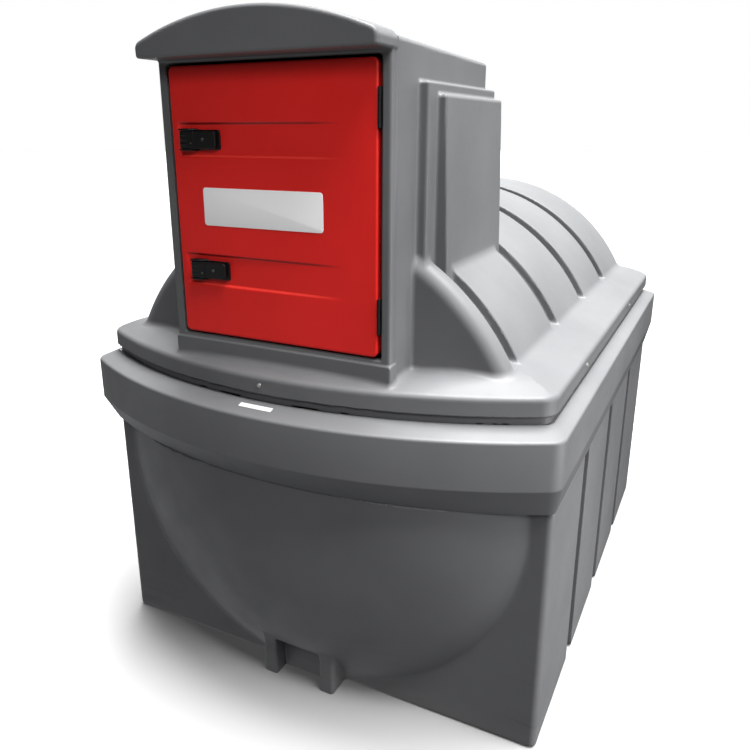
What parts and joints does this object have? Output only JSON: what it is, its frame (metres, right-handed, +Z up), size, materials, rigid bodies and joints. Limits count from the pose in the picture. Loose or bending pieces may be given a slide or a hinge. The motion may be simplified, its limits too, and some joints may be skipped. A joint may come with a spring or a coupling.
{
  "type": "bunded plastic fuel tank with dispensing cabinet",
  "caption": "Grey moulded double-walled fuel storage tank with a ribbed half-round top and an upright cabinet with a hinged red door.",
  "frame": {"origin": "centre of the bounding box on the ground under the tank", "axes": "+Z up, +Y along the tank from the cabinet end to the plain end, +X to the right of someone facing the door"},
  "size_m": [1.44, 2.16, 1.852],
  "materials": {
    "tank_plastic": "satin moulded polyethylene with a fine pebbled skin",
    "door_plastic": "satin red moulded polyethylene",
    "latch_plastic": "semi-gloss black moulded plastic",
    "hinge_steel": "black coated steel"
  },
  "bodies": {
    "tank": {"bund_floor": "tank_plastic", "bund_front_wall": "tank_plastic", "bund_rear_wall": "tank_plastic", "bund_front_swelling": "tank_plastic", "bund_rear_swelling": "tank_plastic", "bund_left_side": "tank_plastic", "bund_right_side": "tank_plastic", "front_foot": "tank_plastic", "rear_foot": "tank_plastic", "collar_front": "tank_plastic", "collar_rear": "tank_plastic", "collar_left": "tank_plastic", "collar_right": "tank_plastic", "lid_front": "tank_plastic", "lid_rear": "tank_plastic", "lid_left": "tank_plastic", "lid_right": "tank_plastic", "dome_front_end_left": "tank_plastic", "dome_front_end_right": "tank_plastic", "dome_rear_end": "tank_plastic", "dome_band_1_left": "tank_plastic", "dome_band_1_right": "tank_plastic", "dome_band_2_left": "tank_plastic", "dome_band_2_right": "tank_plastic", "dome_band_3": "tank_plastic", "dome_band_4": "tank_plastic", "dome_band_5": "tank_plastic", "cabinet_left_wall": "tank_plastic", "cabinet_right_wall": "tank_plastic", "cabinet_rear_wall": "tank_plastic", "cabinet_floor": "tank_plastic", "cabinet_roof": "tank_plastic", "hood": "tank_plastic", "left_jamb": "tank_plastic", "right_jamb": "tank_plastic", "door_sill": "tank_plastic", "left_side_pad": "tank_plastic", "right_side_pad": "tank_plastic", "lower_hinge_frame_leaf": "hinge_steel", "upper_hinge_frame_leaf": "hinge_steel"},
    "cabinet_door": {"door": "door_plastic", "lower_hinge_door_leaf": "hinge_steel", "upper_hinge_door_leaf": "hinge_steel", "upper_latch_base": "latch_plastic", "lower_latch_base": "latch_plastic"},
    "upper_lever": {"upper_latch_lever": "latch_plastic"},
    "lower_lever": {"lower_latch_lever": "latch_plastic"}
  },
  "joints": [
    {"name": "door_hinge", "type": "hinge", "parent": "tank", "child": "cabinet_door", "pos_m": [0.28875, -0.9625, 1.41], "axis": [0, 0, 1], "range_deg": [0, 110]},
    {"name": "upper_latch_hinge", "type": "hinge", "parent": "cabinet_door", "child": "upper_lever", "pos_m": [-0.2485, -0.9708, 1.571], "axis": [0, 0, -1], "range_deg": [0, 40]},
    {"name": "lower_latch_hinge", "type": "hinge", "parent": "cabinet_door", "child": "lower_lever", "pos_m": [-0.2405, -0.9708, 1.25], "axis": [0, 0, -1], "range_deg": [0, 40]}
  ]
}
